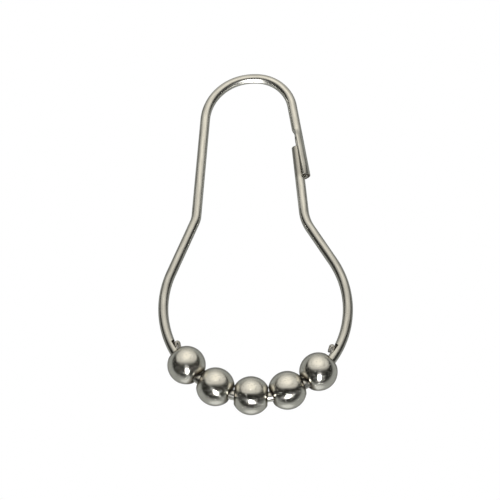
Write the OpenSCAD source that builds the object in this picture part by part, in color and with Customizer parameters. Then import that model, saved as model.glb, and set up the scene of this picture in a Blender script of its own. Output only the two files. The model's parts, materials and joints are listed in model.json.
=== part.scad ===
// Roller hook for a shower curtain. One length of round wire is bent to a pear
// shaped ring that springs shut in a half-pipe keeper. Five turned balls are
// threaded on its wide bow and roll along the curtain rod.
// The hook stands as it hangs: balls on top, curtain loop below, rod along Y.
// The origin is under the balls at the crown of the bow, where the rod touches.

/* [Wire] */
// Diameter of the wire
wire_d = 2.4; // [1.8:0.1:2.7]
// Chamfer on the cut end of the wire
wire_chamfer = 0.2; // [0.1:0.05:0.4]

/* [Ring] */
// Radius of the wide bow, to the middle of the wire
bow_r = 22; // [20:0.5:28]
// From the bow's centre down to the middle of the wire at the curtain loop
hook_drop = 61; // [56:1:75]
// Slant of the plain side below the bow, from the vertical
plain_slant = 22.5; // [18:0.5:26]
// Slant of the latch side below the bow, from the vertical
latch_slant = 32; // [28:0.5:35]
// Bend radius of the shoulder on the plain side
plain_shoulder_r = 6; // [4:0.5:12]
// Bend radius of the shoulder on the latch side
latch_shoulder_r = 10; // [6:0.5:12]
// Lean of the plain leg towards the curtain loop
plain_lean = 4; // [2:0.5:6]
// Lean of the sprung leg, which ends in the keeper
latch_lean = 5.3; // [4:0.1:7]
// Bend radius of the curtain loop towards the plain leg
loop_plain_r = 12.4; // [11:0.1:13.5]
// Bend radius of the curtain loop towards the keeper
loop_keeper_r = 9.2; // [9:0.1:11]
// Straight between the two bends of the curtain loop
loop_flat = 0.5; // [0.3:0.1:2]

/* [Keeper] */
// Lean of the keeper leg
keeper_lean = 9.2; // [8:0.1:11]
// Round wire between the loop and the keeper
keeper_leg_l = 6.6; // [3:0.2:9]
// Length over which the round wire is pressed into the half pipe
keeper_neck = 2; // [1.5:0.1:3]
// Length of the half pipe
keeper_l = 11; // [10:0.5:14]
// Wall of the half pipe
keeper_wall = 0.8; // [0.6:0.05:1]
// How far the half pipe stops short of a full half circle
keeper_short = 0.15; // [0:0.05:0.3]
// Length of the sprung leg that lies in the half pipe
latch_lap = 8.2; // [7:0.2:9]
// Running room round the sprung leg in the half pipe
latch_room = 0.1; // [0.05:0.05:0.2]

/* [Rollers] */
// Number of rollers
roller_count = 5; // [4:1:6]
// Diameter of each ball
roller_d = 9; // [8:0.2:10]
// Diameter of the flat that is turned round each mouth
roller_face_d = 4.4; // [4.3:0.1:5.4]
// Chamfer at each mouth of the bore
roller_chamfer = 0.25; // [0.15:0.05:0.3]
// Play of the bore on the bent wire, across its diameter
bore_play = 0.8; // [0.4:0.05:0.9]
// Share of that play by which the rollers have settled inwards
settle_share = 0.7; // [0:0.1:0.8]
// Room between two rollers that lie side by side
roller_gap = 0.05; // [0.04:0.01:0.3]
// Swing of the whole row towards the plain side, as it lies
row_swing = 2.9; // [0:0.1:4]

/* [Stops] */
// Room between the row and the stop on the plain side
plain_stop_room = 0.2; // [0.15:0.05:1]
// Room between the row and the stop on the latch side
latch_stop_room = 0.9; // [0.3:0.1:2]
// How far each stop stands off the wire
stop_rise = 1.3; // [1.2:0.1:1.8]
// Radius of the roll into which the stop is curled
stop_roll = 0.74; // [0.6:0.02:0.76]
// Radius of the eye left in that roll
stop_eye = 0.22; // [0.15:0.01:0.3]
// Width of each stop across the ring
stop_w = 1.6; // [1.4:0.1:2]
// Depth to which the cut under the stop bites into the wire
stop_bite = 0.45; // [0.2:0.05:0.5]
// Opening of that cut at its mouth
stop_mouth = 0.7; // [0.4:0.05:0.8]

/* [Hidden] */
$fn = 48;
wire_r = wire_d / 2;
joint_lap = 0.05;
joint_step = 0.004;

// Rollers: the bent wire bows by roller_sag inside one straight bore
roller_r = roller_d / 2;
face_r = roller_face_d / 2;
roller_half = sqrt(pow(roller_r, 2) - pow(face_r, 2));
roller_sag = bow_r - sqrt(pow(bow_r, 2) - pow(roller_half, 2));
bore_r = wire_r + roller_sag / 2 + bore_play / 2;
settle = roller_sag / 2 + settle_share * bore_play / 2;
row_r = bow_r - settle;
// Two neighbours can first meet at the inner edges of their flats
half_pitch = atan(roller_half / (row_r - face_r));
row_pitch = 2 * half_pitch + along_bow(roller_gap);
row_half = (roller_count - 1) / 2 * row_pitch;

// Heights of the bow's centre and of its crown
bow_z = -(row_r - roller_r);
crown_z = bow_z + bow_r;

// Stops: each reaches stop_r along the wire, to both sides of its middle
stop_r = 0.85 * stop_rise;
stop_plain = row_half + row_swing + half_pitch + along_bow(plain_stop_room + stop_r);
stop_latch = row_half - row_swing + half_pitch + along_bow(latch_stop_room + stop_r);

// The last stretch of the sprung leg, turned to a chamfer
end_l = 1;

// Keeper: the half pipe is flush with the outside of its leg
pipe_r = wire_r + latch_room;
pipe_out_r = pipe_r + keeper_wall;
pipe_set = pipe_out_r - wire_r;
pipe_lip = pipe_set - keeper_short;
keeper_total = keeper_leg_l + keeper_neck + keeper_l;
keeper_root = wire_r / 4;

function along_bow(length) = length / bow_r * 180 / PI;
function cross2(a, b) = a[0] * b[1] - a[1] * b[0];

// The sides are worked out from the bow's centre, each as if it lay towards +X
function out(lean) = [cos(lean), -sin(lean)];
function down(lean) = [-sin(lean), -cos(lean)];

// Where each leg starts from the bow, and a point further down on each leg
plain_from = bow_r * out(plain_slant);
latch_from = bow_r * out(latch_slant);
plain_to = [loop_flat / 2, loop_plain_r - hook_drop] + loop_plain_r * out(plain_lean);
keeper_from = [loop_flat / 2, loop_keeper_r - hook_drop] + loop_keeper_r * out(keeper_lean);
// The sprung leg ends in the half pipe, with its side against the pipe's floor
latch_to = keeper_from - (keeper_total - latch_lap) * down(keeper_lean)
    - pipe_set * out(keeper_lean);

// Lengths of the straight above and below a shoulder of radius r, whose lines
// start at a with lean p and end at b with lean q
function corner_in(a, b, p, q) = cross2(b - a, down(q)) / sin(p - q);
function corner_out(a, b, p, q) = -cross2(b - a, down(p)) / sin(p - q);
function above(a, b, p, q, r) = corner_in(a, b, p, q) - r * tan((p - q) / 2);
function below(a, b, p, q, r) = corner_out(a, b, p, q) - r * tan((p - q) / 2);

plain_above = above(plain_from, plain_to, plain_slant, plain_lean, plain_shoulder_r);
plain_below = below(plain_from, plain_to, plain_slant, plain_lean, plain_shoulder_r);
latch_above = above(latch_from, latch_to, latch_slant, latch_lean, latch_shoulder_r);
latch_below = below(latch_from, latch_to, latch_slant, latch_lean, latch_shoulder_r);

// A straight of wire along +Z, with what follows it placed at its end. It laps
// into the bends at its ends, a hair thinner, so that no two rims coincide
module straight(length) {
    translate([0, 0, -joint_lap])
        cylinder(r = wire_r - joint_step, h = length + 2 * joint_lap);
    translate([0, 0, length]) children();
}

// A slab on one side of a plane across the wire, wide enough for a bend
module beyond(r, side) {
    size = 4 * (r + wire_d);
    translate([-size / 2, -size / 2, side > 0 ? 0 : -size]) cube(size);
}

// Turns what follows about a bend's centre, which lies at r on +X
module turned(r, angle) {
    translate([r, 0, 0]) rotate([0, angle, 0]) translate([-r, 0, 0]) children();
}

// A bend of wire that starts along +Z and turns towards +X, or away from it
// where r and angle are both below zero
module bend(r, angle) {
    difference() {
        translate([r, 0, 0]) rotate([90, 0, 0]) rotate_extrude($fn = 96)
            translate([abs(r), 0]) circle(r = wire_r);
        beyond(abs(r), -1);
        turned(r, angle) beyond(abs(r), 1);
    }
    turned(r, angle) children();
}

// Places a piece on the bow, its +Z along the wire and its +X to the inside
module on_bow(angle, r) {
    translate([0, 0, bow_z]) rotate([0, angle, 0]) translate([0, 0, r])
        rotate([0, 90, 0]) children();
}

// The end of the keeper leg, pressed wide and curled to a half pipe. The pipe
// starts at the module's origin, and the round wire widens to it below that
module keeper() {
    flare = pipe_out_r + joint_lap;
    difference() {
        intersection() {
            translate([pipe_set, 0, -keeper_neck])
                cylinder(r = pipe_out_r, h = keeper_neck + keeper_l);
            translate([-wire_d, -wire_d, -wire_d])
                cube([pipe_lip + wire_d, 2 * wire_d, keeper_l + 2 * wire_d]);
            rotate([90, 0, 90]) linear_extrude(2 * wire_d, center = true)
                polygon([[-keeper_root, -keeper_neck], [keeper_root, -keeper_neck], [flare, 0],
                    [flare, keeper_l + 1], [-flare, keeper_l + 1], [-flare, 0]]);
        }
        keeper_bore();
    }
}

// The room for the sprung leg, with a round end where the pressing starts
module keeper_bore() {
    translate([pipe_set, 0, 0]) {
        rotate([0, -45, 0]) sphere(r = pipe_r - joint_step);
        cylinder(r = pipe_r, h = keeper_l + 1);
    }
}

// The keeper leg: the wire runs on through the neck, where the bore ends it
module keeper_leg() {
    difference() {
        straight(keeper_leg_l + keeper_neck);
        translate([0, 0, keeper_leg_l + keeper_neck]) keeper_bore();
    }
    translate([0, 0, keeper_leg_l + keeper_neck]) keeper();
}

// The cut and chamfered end of the sprung leg
module free_end() {
    rotate_extrude() polygon([[0, 0], [wire_r, 0], [wire_r, end_l - wire_chamfer],
        [wire_r - wire_chamfer, end_l], [0, end_l]]);
}

// A chip raised from the inside of the wire by a slanted cut and curled to a
// roll, with its root towards the rollers; +X is the inside and +Z leads away
// from the rollers
module stop_chip() {
    top = wire_r + stop_rise;
    rotate([90, 0, 0]) linear_extrude(stop_w, center = true) difference() {
        union() {
            translate([top - stop_roll, 0]) circle(r = stop_roll);
            polygon([[wire_r / 2, -stop_r], [0.9 * wire_r, -stop_r],
                [top - 0.6 * stop_roll, -0.8 * stop_roll], [top - stop_roll, -0.5 * stop_roll],
                [wire_r + stop_rise / 8, -stop_roll / 4], [wire_r / 2, -stop_roll / 2]]);
        }
        translate([top - stop_roll, 0]) circle(r = stop_eye);
    }
}

// The wedge that parts the chip from the wire, closed towards the rollers
module stop_slot() {
    floor_x = wire_r - stop_bite;
    rotate([90, 0, 0]) linear_extrude(2 * wire_d, center = true)
        polygon([[wire_r + stop_rise / 6, -0.5 * stop_r], [floor_x, 0.9 * stop_r],
            [floor_x + stop_bite, 1.8 * stop_r], [floor_x + stop_mouth, 1.2 * stop_r]]);
}

// Sends what is drawn for one stop to both stops, the latch side's mirrored
module at_stops() {
    on_bow(stop_plain, bow_r) children();
    rotate([0, 0, 180]) on_bow(stop_latch, bow_r) children();
}

module wire_ring() {
    color([0.72, 0.70, 0.65])
    difference() {
        union() {
            // From the crown round the plain side and the loop to the keeper
            translate([0, 0, crown_z]) rotate([0, 90, 0])
                bend(bow_r, 90 + plain_slant) straight(plain_above)
                bend(-plain_shoulder_r, plain_lean - plain_slant) straight(plain_below)
                bend(loop_plain_r, 90 - plain_lean) straight(loop_flat)
                bend(loop_keeper_r, 90 - keeper_lean) keeper_leg();
            // From the crown round the latch side to the end in the keeper
            translate([0, 0, crown_z]) rotate([0, 0, 180]) rotate([0, 90, 0])
                bend(bow_r, 90 + latch_slant) straight(latch_above)
                bend(-latch_shoulder_r, latch_lean - latch_slant)
                straight(latch_below - end_l) free_end();
            at_stops() stop_chip();
        }
        at_stops() stop_slot();
    }
}

// One turned ball with its bore, flats and mouths, standing along Z
module roller_body() {
    mouth_r = bore_r + roller_chamfer;
    rotate_extrude($fn = 96) difference() {
        intersection() {
            circle(r = roller_r);
            translate([0, -roller_half]) square([roller_r, 2 * roller_half]);
        }
        translate([0, -roller_half]) square([bore_r, 2 * roller_half]);
        for (side = [-1, 1])
            polygon([[0, side * (roller_half - roller_chamfer)],
                [bore_r, side * (roller_half - roller_chamfer)],
                [mouth_r, side * roller_half], [0, side * roller_half]]);
    }
}

// Rollers are numbered from the plain side, which lies towards +X
module roller(index) {
    angle = row_swing + row_half - (index - 1) * row_pitch;
    color([0.62, 0.60, 0.56]) on_bow(angle, row_r) roller_body();
}

wire_ring();
for (i = [1:roller_count])
    roller(i);
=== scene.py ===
import json
from math import acos, asin, atan2, cos, pi, radians, sin, tan

import bmesh
import bpy
from mathutils import Matrix, Vector


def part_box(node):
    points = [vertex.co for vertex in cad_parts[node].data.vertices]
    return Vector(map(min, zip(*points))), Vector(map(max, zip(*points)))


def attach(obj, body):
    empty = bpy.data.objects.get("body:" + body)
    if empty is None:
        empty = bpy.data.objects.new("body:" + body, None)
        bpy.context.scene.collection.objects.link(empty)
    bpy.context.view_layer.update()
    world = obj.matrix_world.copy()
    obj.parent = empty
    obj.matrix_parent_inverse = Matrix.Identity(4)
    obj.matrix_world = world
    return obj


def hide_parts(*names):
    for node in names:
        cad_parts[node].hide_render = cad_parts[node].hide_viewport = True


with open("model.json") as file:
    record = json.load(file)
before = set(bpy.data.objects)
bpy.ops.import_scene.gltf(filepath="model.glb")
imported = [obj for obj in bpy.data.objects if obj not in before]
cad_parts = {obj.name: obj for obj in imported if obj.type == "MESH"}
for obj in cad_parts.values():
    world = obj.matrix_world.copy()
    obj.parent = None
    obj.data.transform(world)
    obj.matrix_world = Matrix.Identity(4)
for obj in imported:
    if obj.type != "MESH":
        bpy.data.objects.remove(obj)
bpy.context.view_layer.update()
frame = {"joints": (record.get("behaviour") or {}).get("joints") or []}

# Set and camera
# The hook hangs over a pale round table in a white room, and is seen from the
# front and above. The camera is rolled half a turn, with the curtain loop on top.
MM = 0.001
aim = Vector((1.33, 0, -31.56)) * MM
camera_distance = 300 * MM
camera_tilt = radians(20)
photo_width = 500
focal_pixels = 1237.5


def put(name, data):
    """A new object of the scene."""
    made = bpy.data.objects.new(name, data)
    bpy.context.collection.objects.link(made)
    return made


back = Vector((0, -cos(camera_tilt), sin(camera_tilt)))
up = Vector((0, -sin(camera_tilt), -cos(camera_tilt)))
lens = bpy.data.cameras.new("camera")
lens.sensor_width = 36
lens.lens = focal_pixels / photo_width * lens.sensor_width
lens.clip_start = 10 * MM
camera = put("camera", lens)
camera.matrix_world = Matrix((up.cross(back), up, back)).transposed().to_4x4()
camera.location = aim + camera_distance * back
bpy.context.scene.camera = camera
bpy.context.scene.view_settings.view_transform = "Standard"


def fill(made, inputs):
    """Sets a node's inputs, or links those whose value is another node's output."""
    for name, value in inputs.items():
        if isinstance(value, bpy.types.NodeSocket):
            made.id_data.links.new(value, made.inputs[name])
        else:
            made.inputs[name].default_value = value


def node(tree, kind, inputs=None, **settings):
    """A shader node with its settings and inputs."""
    made = tree.nodes.new("ShaderNode" + kind)
    for setting, value in settings.items():
        setattr(made, setting, value)
    fill(made, inputs or {})
    return made


def eased(tree, value, first, last, full=1):
    """A share that grows smoothly, from 0 where the value is first to full at last."""
    limits = {"Value": value, "From Min": first, "From Max": last, "To Max": full}
    return node(tree, "MapRange", limits, interpolation_type="SMOOTHSTEP").outputs["Result"]


def layer(tree, below, share, colour):
    """Colour laid over what is below it, by share."""
    coats = {"A": below, "B": colour, "Factor": share}
    return node(tree, "Mix", coats, data_type="RGBA").outputs["Result"]


# A round pool of warm light, brightest in its middle, lies on the table before
# the hook. The wall behind is pale, and the rest of the room is dark. The
# camera sees it all white.
WHITE = (1, 1, 1, 1)
ROOM_DARK = (0.024, 0.024, 0.021, 1)
WALL = (0.40, 0.41, 0.39, 1)
WALL_SHADE = (0.16, 0.16, 0.15, 1)
FLOOR = (0.60, 0.59, 0.55, 1)
POOL = (0.80, 0.78, 0.72, 1)
POOL_MIDDLE = (1.38, 1.32, 1.19, 1)
HIGH_WINDOW = (0.95, 0.96, 0.93, 1)

# Each lies over those before it: its colour, the way to its middle, and the
# cosines of the angles from there at which it begins to show and shows in full
SURROUNDINGS = (
    (WALL, (0, 1, 0), -0.18, 0.25),
    (FLOOR, (0, -0.1, -1), 0.8, 1.0),
    (WALL_SHADE, (0, 0.94, -0.34), 0.6, 1.0),
    (HIGH_WINDOW, (0, 0.59, 0.81), 0.9, 1.0),
    (POOL, (-0.22, -0.731, -0.682), 0.63, 0.83),
    (POOL, (0.22, -0.731, -0.682), 0.63, 0.83),
    (POOL_MIDDLE, (0, -0.731, -0.682), 0.8, 1.0))


def room_light(tree, way, rays):
    """The light that comes to the hook from the direction way, white to the camera."""
    light = ROOM_DARK
    for colour, middle, first, last in SURROUNDINGS:
        ways = {0: way, 1: Vector(middle).normalized()}
        cosine = node(tree, "VectorMath", ways, operation="DOT_PRODUCT").outputs["Value"]
        light = layer(tree, light, eased(tree, cosine, first, last), colour)
    return layer(tree, light, rays["Is Camera Ray"], WHITE)


room = bpy.data.worlds.new("room")
bpy.context.scene.world = room
room.use_nodes = True
tree = room.node_tree
tree.nodes.clear()
rays = node(tree, "LightPath").outputs
way = node(tree, "TexCoord").outputs["Generated"]
glow = node(tree, "Background", {"Color": room_light(tree, way, rays)})
node(tree, "OutputWorld", {"Surface": glow.outputs[0]})


def node_material(name):
    """A new material, its node tree and its shader."""
    made = bpy.data.materials.new(name)
    made.use_nodes = True
    return made, made.node_tree, made.node_tree.nodes["Principled BSDF"]


# The table is white to the camera; to the metal it glows with the room's painted pool of light.
table_drop = 150 * MM
table_r = 2.8 * table_drop
table_forward = 2.5 * table_drop
bm = bmesh.new()
bmesh.ops.create_circle(bm, cap_ends=True, segments=96, radius=table_r)
mesh = bpy.data.meshes.new("table")
bm.to_mesh(mesh)
bm.free()
table = put("table", mesh)
table.location = (0, -table_forward, -table_drop)
pale, tree, surface = node_material("pale_table")
mesh.materials.append(pale)
fill(surface, {"Base Color": (0.86, 0.84, 0.80, 1), "Roughness": 0.9})
rays = node(tree, "LightPath").outputs
place = node(tree, "NewGeometry").outputs["Position"]
way = node(tree, "VectorMath", {0: place}, operation="NORMALIZE").outputs["Vector"]
# painted light: the table glows with the room's light as seen from the hook
painted_pool_glow = node(tree, "Emission", {"Color": room_light(tree, way, rays)})
seen = node(tree, "Math", {0: rays["Is Camera Ray"], 1: rays["Is Glossy Ray"]}, operation="MAXIMUM")
mixed = node(tree, "MixShader", {"Fac": seen.outputs[0], 1: surface.outputs[0], 2: painted_pool_glow.outputs[0]})
fill(tree.nodes["Material Output"], {"Surface": mixed.outputs[0]})


def lamp(name, place, aimed, width, height, power):
    """An area lamp that faces what it is aimed at. Places and sizes are in millimetres."""
    light = bpy.data.lights.new(name, "AREA")
    light.shape = "ELLIPSE"
    light.size = width * MM
    light.size_y = height * MM
    light.energy = power
    made = put(name, light)
    made.location = Vector(place) * MM
    made.rotation_euler = (Vector(place) - Vector(aimed)).to_track_quat("Z", "Y").to_euler()


# The key lamp stands high in front. A small one whitens the curtain loop from above.
lamp("key_lamp", (-60, -500, 620), (0, 0, 0), 260, 240, 5.4)
lamp("loop_lamp", (0, 0, -42), (0, 0, -79), 16, 30, 0.008)

# Wire ring
# One length of round spring wire, bent on pins: the wide bow, two shoulders,
# two legs and the curtain loop. Satin nickel plated, with its draw lines left.
wire_d = 2.4
bow_r = 22
hook_drop = 61
plain_slant = radians(22.5)
latch_slant = radians(32)
plain_shoulder_r = 6
latch_shoulder_r = 10
plain_lean = radians(4)
latch_lean = radians(5.3)
keeper_lean = radians(9.2)
loop_plain_r = 12.4
loop_keeper_r = 9.2
loop_flat = 0.5
keeper_leg_l = 6.6
keeper_neck = 2
keeper_l = 11
keeper_wall = 0.8
keeper_short = 0.15
latch_lap = 8.2
latch_room = 0.1

wire_r = wire_d / 2
pipe_r = wire_r + latch_room
pipe_out_r = pipe_r + keeper_wall
pipe_set = pipe_out_r - wire_r
pipe_lip = pipe_set - keeper_short
crown_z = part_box("wire_ring")[1].z / MM - wire_r


# Each side of the ring is laid out to the right of the bow's middle, with
# leans taken inwards and down
def off_side(lean):
    """The way out of the ring, square to a side with that lean."""
    return Vector((cos(lean), -sin(lean)))


def along(lean):
    """The way down a side with that lean."""
    return Vector((-sin(lean), -cos(lean)))


def straights(start, end, lean_above, lean_below, r):
    """Lengths above and below a shoulder of radius r between two slanted lines."""
    between = end - start
    turn = lean_above - lean_below
    tangent = r * tan(turn / 2)
    above = between.cross(along(lean_below)) / sin(turn) - tangent
    below = -between.cross(along(lean_above)) / sin(turn) - tangent
    return above, below


def loop_end(r, lean):
    """Where a leg with that lean meets the bend of radius r at the curtain loop."""
    return Vector((loop_flat / 2, r - hook_drop)) + r * off_side(lean)


# The sprung leg ends in the keeper's groove, as far below the keeper's tip as it laps
keeper_total = keeper_leg_l + keeper_neck + keeper_l
keeper_from = loop_end(loop_keeper_r, keeper_lean)
latch_to = (keeper_from - (keeper_total - latch_lap) * along(keeper_lean)
            - pipe_set * off_side(keeper_lean))
plain_above, plain_below = straights(
    bow_r * off_side(plain_slant), loop_end(loop_plain_r, plain_lean),
    plain_slant, plain_lean, plain_shoulder_r)
latch_above, latch_below = straights(
    bow_r * off_side(latch_slant), latch_to, latch_slant, latch_lean, latch_shoulder_r)


class Wire:
    """The middle line of the wire as it is fed and bent, starting at the crown.
    Each stop is a place, the way ahead and the way to the inside of the ring."""

    def __init__(self, side):
        self.stops = [(Vector((0, 0, crown_z)), Vector((side, 0, 0)), Vector((0, 0, -1)))]

    def feed(self, length, step=1.0):
        """Straight on by a length."""
        place, ahead, inside = self.stops[-1]
        count = max(1, round(length / step))
        for i in range(1, count + 1):
            self.stops.append((place + ahead * length * i / count, ahead, inside))

    def bend(self, r, angle, step=0.5):
        """Round a radius by an angle, which is positive to the inside."""
        place, ahead, inside = self.stops[-1]
        side = 1 if angle > 0 else -1
        middle = place + inside * r * side
        count = max(4, round(r * abs(angle) / step))
        for i in range(1, count + 1):
            a = angle * i / count
            way_in = inside * cos(a) - ahead * sin(a)
            self.stops.append((middle - way_in * r * side, ahead * cos(a) + inside * sin(a), way_in))


plain = Wire(1)
plain.bend(bow_r, pi / 2 + plain_slant)
plain.feed(plain_above)
plain.bend(plain_shoulder_r, plain_lean - plain_slant)
plain.feed(plain_below)
plain.bend(loop_plain_r, pi / 2 - plain_lean)
plain.feed(loop_flat)
plain.bend(loop_keeper_r, pi / 2 - keeper_lean)
plain.feed(keeper_leg_l)

latch = Wire(-1)
latch.bend(bow_r, pi / 2 + latch_slant)
latch.feed(latch_above)
latch.bend(latch_shoulder_r, latch_lean - latch_slant)
latch.feed(latch_below)


def spot(x, r, a):
    """The point of a section at angle a on a circle about (x, 0)."""
    return Vector((x + r * cos(a), r * sin(a)))


def arc(x, r, first, last, count):
    """Points on such a circle from one angle to another, without the last."""
    return [spot(x, r, first + (last - first) * i / count) for i in range(count)]


# The round section has a point for each point of the keeper's half pipe: its
# outside, one lip, the groove and the other lip, from and to an angle in degrees
OUTSIDE, LIP, GROOVE = 24, 8, 24
TURNS = ((70, 290, OUTSIDE), (290, 310, LIP), (310, 410, GROOVE), (50, 70, LIP))
round_section = []
for first, last, count in TURNS:
    round_section += arc(0, wire_r, radians(first), radians(last), count)
lip_round = 0.25


def keeper_lip(start, end):
    """A rounded lip from one point to another, on the side of the ring's inside."""
    middle, reach = (start + end) / 2, (start - end) / 2
    return [middle + reach * cos(pi * i / LIP) + Vector((lip_round * sin(pi * i / LIP), 0))
            for i in range(LIP)]


def keeper_section():
    """The half pipe: outside, rounded lip, inside and rounded lip."""
    lip_x = pipe_lip - lip_round
    outer = acos((lip_x - pipe_set) / pipe_out_r)
    inner = acos((lip_x - pipe_set) / pipe_r)
    return (arc(pipe_set, pipe_out_r, outer, 2 * pi - outer, OUTSIDE)
            + keeper_lip(spot(pipe_set, pipe_out_r, -outer), spot(pipe_set, pipe_r, -inner))
            + arc(pipe_set, pipe_r, 2 * pi - inner, inner, GROOVE)
            + keeper_lip(spot(pipe_set, pipe_r, inner), spot(pipe_set, pipe_out_r, outer)))


def shrunk(section, depth):
    """The section moved inwards by depth along its own outline."""
    made = []
    for i, point in enumerate(section):
        step = section[(i + 1) % len(section)] - section[i - 1]
        made.append(point - Vector((step.y, -step.x)).normalized() * depth)
    return made


def blended(a, b, share):
    """A section between two others."""
    return [p.lerp(q, share) for p, q in zip(a, b)]


def further(stop, length):
    """The stop moved straight ahead by a length."""
    place, ahead, inside = stop
    return place + ahead * length, ahead, inside


def set_out(stop, section):
    """A section placed across the wire at a stop of its middle line."""
    place, ahead, inside = stop
    return [place + inside * p.x + Vector((0, p.y, 0)) for p in section]


# From the sprung leg's cut end over the crown to the keeper's tip
wire_chamfer = 0.2
leg_end = latch.stops[-1]
rows = [set_out(leg_end, [p * (1 - wire_chamfer / wire_r) for p in round_section]),
        set_out(further(leg_end, -wire_chamfer), round_section)]
rows += [set_out(stop, round_section) for stop in reversed(latch.stops[:-1])]
rows += [set_out(stop, round_section) for stop in plain.stops[1:]]

neck_rows = 14
neck_l = 1.3 * keeper_neck
pipe_section = keeper_section()
neck_start = plain.stops[-1]
for i in range(1, neck_rows + 1):
    share = i / neck_rows
    pressed = share * share * (3 - 2 * share)
    rows.append(set_out(further(neck_start, neck_l * share), blended(round_section, pipe_section, pressed)))

tip_round = 0.1
tip_ease = 0.3 * tip_round
tip_l = 4
pipe_end = keeper_neck + keeper_l
for at, section in ((pipe_end - tip_l, pipe_section), (pipe_end - tip_round, pipe_section),
                    (pipe_end - tip_ease, shrunk(pipe_section, tip_ease)),
                    (pipe_end, shrunk(pipe_section, tip_round))):
    rows.append(set_out(further(neck_start, at), section))


def wall(bm, low, high):
    """The faces between two closed rows of points."""
    count = len(low)
    return [bm.faces.new((low[i], low[(i + 1) % count], high[(i + 1) % count], high[i]))
            for i in range(count)]


def skinned(bm, rows, uv):
    """A skin over rows of points, with the length along the wire and the way
    round it, in millimetres, as its map."""
    girth = 2 * pi * wire_r
    count = len(rows[0])
    grid = [[bm.verts.new(p * MM) for p in row] for row in rows]
    far = 0
    for before, after, low, high in zip(rows, rows[1:], grid, grid[1:]):
        near, far = far, far + (sum(after, Vector()) - sum(before, Vector())).length / count
        for i, face in enumerate(wall(bm, low, high)):
            corners = ((near, i), (near, i + 1), (far, i + 1), (far, i))
            for loop, (u, v) in zip(face.loops, corners):
                loop[uv].uv = (u, v / count * girth)
    return grid


# The wire's finishes are numbered: 0 plated, 1 sheared or chiselled and painted dark as shade, 2 a raised
# chip
SHEARED_SHADED, RAISED = 1, 2
bm = bmesh.new()
uv = bm.loops.layers.uv.new("wire_map")
grid = skinned(bm, rows, uv)
cut_faces = [bm.faces.new(grid[0])]
tip = grid[-1]
groove_end = OUTSIDE + LIP + GROOVE
for k in range(OUTSIDE):
    cut_faces.append(bm.faces.new((tip[k], tip[k + 1], tip[groove_end - k - 1], tip[groove_end - k])))
cut_faces.append(bm.faces.new(tip[OUTSIDE:OUTSIDE + LIP + 1]))
cut_faces.append(bm.faces.new(tip[groove_end:] + tip[:1]))
for face in cut_faces:
    face.material_index = SHEARED_SHADED
bmesh.ops.recalc_face_normals(bm, faces=bm.faces)


def smooth(mesh, sharp=35):
    """Shades a mesh smooth but for its edges sharper than that angle."""
    mesh.shade_smooth()
    mesh.set_sharp_from_angle(angle=radians(sharp))


def new_piece(name, bm, sharp=35):
    """A smooth piece made from bm."""
    mesh = bpy.data.meshes.new(name)
    bm.to_mesh(mesh)
    bm.free()
    smooth(mesh, sharp)
    return put(name, mesh)


ring = new_piece("bent_wire", bm)


def noise(tree, scale, detail, vector):
    """A noise over a map, with scale as its grains to the unit on each axis."""
    sized = node(tree, "Mapping", {"Vector": vector, "Scale": scale}).outputs["Vector"]
    return node(tree, "TexNoise", {"Vector": sized, "Scale": 1, "Detail": detail}).outputs["Fac"]


def spread(tree, value, low, high, first=0.3, last=0.7):
    """Noise carried from its values first to last over to low to high."""
    limits = {"Value": value, "From Min": first, "From Max": last, "To Min": low, "To Max": high}
    return node(tree, "MapRange", limits).outputs["Result"]


def tinted(tree, value, low, high):
    """A colour between low and high, by noise."""
    return layer(tree, low, spread(tree, value, 0, 1), high)


def bumped(tree, value, depth, before=None):
    """Relief of that depth in metres, over the relief before it."""
    made = node(tree, "Bump", {"Strength": 1, "Distance": depth, "Height": value})
    if before:
        fill(made, {"Normal": before})
    return made.outputs["Normal"]


# Painted shade: the sprung leg is painted darker where it lies in the keeper, as the keeper's shade on it
KEEPER_SHADE_PAINT = (0.36, 0.35, 0.32, 1)
PLATING_DARK = (0.47, 0.46, 0.425, 1)
PLATING_PALE = (0.68, 0.67, 0.62, 1)
satin, tree, surface = node_material("satin_nickel")
wire_map = node(tree, "UVMap", uv_map="wire_map").outputs["UV"]
lines = noise(tree, (0.5, 14, 1), 3, wire_map)
streaks = noise(tree, (0.25, 3, 1), 3, wire_map)
from_end = node(tree, "SeparateXYZ", {0: wire_map}).outputs["X"]
# painted shade over the length of the sprung leg that lies in the keeper
painted_keeper_shade = eased(tree, from_end, latch_lap + 1, latch_lap - 1, 0.8)
fill(surface, {
    "Metallic": 1,
    "Base Color": layer(tree, tinted(tree, streaks, PLATING_DARK, PLATING_PALE), painted_keeper_shade, KEEPER_SHADE_PAINT),
    "Roughness": spread(tree, lines, 0.22, 0.32),
    "Normal": bumped(tree, lines, 0.003 * MM)})


def torn(name, low, high):
    """Steel laid bare by the shears or the chisel, mottled between two colours."""
    made, tree, surface = node_material(name)
    grit = noise(tree, (2600,) * 3, 4, node(tree, "TexCoord").outputs["Object"])
    fill(surface, {
        "Metallic": 1,
        "Base Color": tinted(tree, grit, low, high),
        "Roughness": 0.42,
        "Normal": bumped(tree, grit, 0.02 * MM)})
    return made


ring.data.materials.append(satin)
# The cut faces are bare steel, painted near black as the shade in the notch and at the keeper's tip
ring.data.materials.append(torn("sheared_end_painted_shade", (0.03, 0.022, 0.015, 1), (0.16, 0.13, 0.10, 1)))
ring.data.materials.append(torn("raised_chip", (0.11, 0.10, 0.085, 1), (0.70, 0.685, 0.64, 1)))
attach(ring, "ring")
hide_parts("wire_ring")

# Stops
# A chisel cut raises a curled chip from the inside of the wire beyond each end
# of the row. It leaves a slanted notch, and keeps the rollers on the bow.
roller_d = 9
roller_face_d = 4.4
plain_stop_room = 0.15
latch_stop_room = 1.3
chip_reach = 0.7
chip_w = 1.7
chip_thick = 0.72
chip_heading = radians(10)

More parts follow.
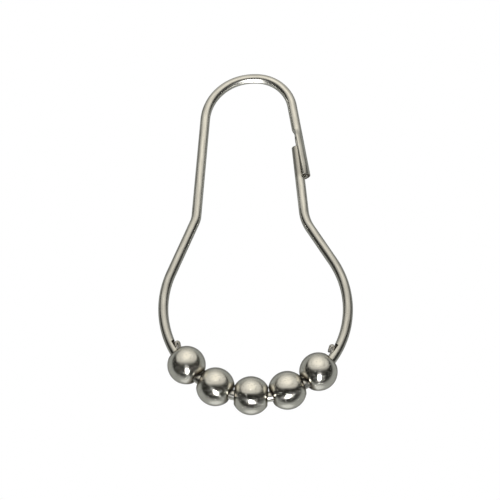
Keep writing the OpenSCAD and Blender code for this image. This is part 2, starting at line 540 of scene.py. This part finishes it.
# The cut and the chip are drawn in places along the wire, away from the rollers,
# and out from its middle. The chip is fed by length, turn in degrees and steps
cut_slant = 0.5
cut_floor = ((-1.15, 1.25), (-0.3, 1.05), (0.6, 0.98), (1.5, 0.92), (1.75, 1.7))
cut_top = 3
chip_root = Vector((-1.15, 0.66))
chip_feeds = ((1.75, 6, 8), (1.19, 178, 24), (0.85, 0, 6), (0.2, 0, 3), (0, 0, 1))

spins = {joint["child"]: joint for joint in frame["joints"]}
bow_middle = Vector((0, 0, crown_z - bow_r))
roller_r = roller_d / 2
face_r = roller_face_d / 2
roller_half = (roller_r ** 2 - face_r ** 2) ** 0.5


def end_angle(body):
    """Angle from the crown at which the end roller's flat meets the inner circle."""
    place = Vector(spins[body]["pos_m"]) / MM - bow_middle
    return abs(atan2(place.x, place.z)) + atan2(roller_half, place.length - face_r)


def stop_frame(side, body, room):
    """What places a stop's (along, out, across) in the hook, along being away
    from the rollers."""
    a = end_angle(body) + (room + chip_reach) / bow_r
    ahead = Vector((side * cos(a), 0, -sin(a)))
    inside = Vector((-side * sin(a), 0, -cos(a)))
    place = bow_middle - inside * bow_r
    return lambda t, n, y: (place + ahead * t + inside * n + Vector((0, y, 0))) * MM


def solid_rows(bm, rows, finish):
    """A closed skin over rows of points, with flat ends."""
    grid = [[bm.verts.new(p) for p in row] for row in rows]
    for low, high in zip(grid, grid[1:]):
        wall(bm, low, high)
    bm.faces.new(grid[0])
    bm.faces.new(grid[-1])
    for face in bm.faces:
        face.material_index = finish


def notch(bm, at):
    """The chisel's cut, which bites deeper away from the rollers and on the front side."""
    outline = cut_floor + ((cut_floor[-1][0], cut_top), (cut_floor[0][0], cut_top))
    rows = [[at(t, n + cut_slant * y, y) for t, n in outline] for y in (-wire_d, wire_d)]
    # The notch's faces are painted dark as shade
    solid_rows(bm, rows, SHEARED_SHADED)


def chip(bm, at):
    """A shaving that rises from its root and folds back over itself, thinner and
    narrower at its tip. Its section runs from its inner skin by one side to its
    outer skin and back."""
    place, heading = chip_root, chip_heading
    rows = []
    total = sum(count for length, turn, count in chip_feeds)
    for length, turn, count in chip_feeds:
        for i in range(count):
            fed = len(rows) / total
            thick = chip_thick * min(1, 0.4 + 9 * (1 - fed))
            half, side = thick / 2, (chip_w - 0.2 * fed ** 2) / 2
            ease = 0.25 * thick
            out = Vector((-sin(heading), cos(heading)))
            section = ((half, side - ease), (half, ease - side), (half - ease, -side), (ease - half, -side),
                       (-half, ease - side), (-half, side - ease), (ease - half, side), (half - ease, side))
            rows.append([at(*(place + out * d), y) for d, y in section])
            heading += radians(turn) / count
            place = place + Vector((cos(heading), sin(heading))) * length / count
    solid_rows(bm, rows, RAISED)


def cut_and_join(target, tool_bm, operation):
    """Cuts the tool's shape from the wire, or joins it to the wire."""
    bmesh.ops.recalc_face_normals(tool_bm, faces=tool_bm.faces)
    tool = new_piece("tool", tool_bm)
    for material in target.data.materials:
        tool.data.materials.append(material)
    change = target.modifiers.new("change", "BOOLEAN")
    change.operation = operation
    change.solver = "EXACT"
    change.object = tool
    shaped = target.evaluated_get(bpy.context.evaluated_depsgraph_get())
    target.data = bpy.data.meshes.new_from_object(shaped)
    target.modifiers.clear()
    bpy.data.objects.remove(tool)


stops = (stop_frame(1, "bead_1", plain_stop_room), stop_frame(-1, "bead_5", latch_stop_room))
for shape, operation in ((notch, "DIFFERENCE"), (chip, "UNION")):
    tools = bmesh.new()
    for at in stops:
        shape(tools, at)
    cut_and_join(ring, tools, operation)
smooth(ring.data)

# Rollers
# Five solid steel balls, turned with a straight bore and a flat round each
# mouth, polished and nickel plated. They run loose on the bow.
bore_play = 0.8
roller_chamfer = 0.25
mouth_ease = 0.01
edge_round = 0.12
around = 128
arc_steps = 26

roller_sag = bow_r - (bow_r ** 2 - roller_half ** 2) ** 0.5
bore_r = wire_r + roller_sag / 2 + bore_play / 2
mouth_r = bore_r + roller_chamfer

# Painted shade: the balls are painted dark near their mouths, where they meet, as the shade between them
SEAM_SHADE = (0.12, 0.095, 0.06, 1)
NICKEL_DARK = (0.66, 0.645, 0.59, 1)
NICKEL_PALE = (0.73, 0.715, 0.66, 1)
seam_shade_reach = 0.75
bright, tree, surface = node_material("bright_nickel")
grain = node(tree, "UVMap", uv_map="grain_map").outputs["UV"]
own = node(tree, "TexCoord").outputs["Object"]
scratches = noise(tree, (0.5, 5, 1), 4, grain)
orange_peel = noise(tree, (1500,) * 3, 2, own)
pits = spread(tree, noise(tree, (3600,) * 3, 2, own), 0, 1, 0.62, 0.7)
clouds = noise(tree, (500,) * 3, 2, own)
to_mouth = node(tree, "Attribute", attribute_name="along_bore").outputs["Fac"]
# painted shade near the mouths, where the balls meet
painted_seam_shade = eased(tree, to_mouth, roller_half - seam_shade_reach, roller_half, 0.85)
relief = bumped(tree, pits, 0.024 * MM, bumped(tree, orange_peel, 0.012 * MM))
fill(surface, {
    "Metallic": 1,
    "Base Color": layer(tree, tinted(tree, clouds, NICKEL_DARK, NICKEL_PALE), painted_seam_shade, SEAM_SHADE),
    "Roughness": spread(tree, scratches, 0.13, 0.21),
    "Anisotropic": 0.9,
    "Anisotropic Rotation": 0.25,
    "Tangent": node(tree, "Tangent", direction_type="UV_MAP", uv_map="grain_map").outputs[0],
    "Normal": bumped(tree, scratches, 0.005 * MM, relief)})


def roller_outline():
    """From the middle of the bore round one mouth to the ball's widest place."""
    bore_end = roller_half - roller_chamfer
    points = [(bore_r, 0), (bore_r, roller_half / 2), (bore_r, bore_end - 3 * mouth_ease),
              (bore_r + mouth_ease, bore_end), (mouth_r - mouth_ease, roller_half - 2 * mouth_ease),
              (mouth_r + 2 * mouth_ease, roller_half), (face_r - edge_round, roller_half),
              (face_r, roller_half - 0.12 * edge_round)]
    first = atan2(roller_half - 0.45 * edge_round, face_r + 0.35 * edge_round)
    return points + [(roller_r * cos(a), roller_r * sin(a))
                     for a in (first * (1 - i / arc_steps) for i in range(arc_steps + 1))]


half = roller_outline()
outline = half + [(r, -h) for r, h in reversed(half[1:-1])]


def turned(bm, axis):
    """A ball turned to the outline about its bore's axis."""
    settled = axis.to_track_quat("Z", "Y").to_matrix()
    along_bore = bm.verts.layers.float.new("along_bore")
    slices = []
    for i in range(around):
        a = 2 * pi * i / around
        slices.append([bm.verts.new(settled @ Vector((r * cos(a), r * sin(a), h)) * MM) for r, h in outline])
        for vert, (r, h) in zip(slices[-1], outline):
            vert[along_bore] = abs(h)
    for low, high in zip(slices, slices[1:] + slices[:1]):
        wall(bm, low, high)
    bmesh.ops.recalc_face_normals(bm, faces=bm.faces)


def grained(bm, axis):
    """A map of the way round the polishing axis and the way along it, in millimetres."""
    uv = bm.loops.layers.uv.new("grain_map")
    across = axis.orthogonal().normalized()
    side = axis.cross(across)
    for face in bm.faces:
        middle = face.calc_center_median()
        turned_to = atan2(middle.dot(side), middle.dot(across))
        for loop in face.loops:
            p = loop.vert.co
            turn = atan2(p.dot(side), p.dot(across)) - turned_to
            turn = (turn + pi) % (2 * pi) - pi + turned_to
            loop[uv].uv = (turn * roller_r, asin(p.normalized().dot(axis)) * roller_r)


# Each ball was polished about one axis and has turned since, so its marks run
# their own way across the front. The slopes are of that axis, in degrees
polish_slopes = (80, 50, 22, -23, -88)
for number, slope in enumerate(polish_slopes, 1):
    joint = spins[f"bead_{number}"]
    bm = bmesh.new()
    turned(bm, Vector(joint["axis"]))
    grained(bm, Vector((-cos(radians(slope)), 0, sin(radians(slope)))))
    ball = new_piece(f"ball_{number}", bm, 25)
    ball.location = joint["pos_m"]
    ball.data.materials.append(bright)
    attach(ball, f"bead_{number}")
    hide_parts(f"roller_{number}")
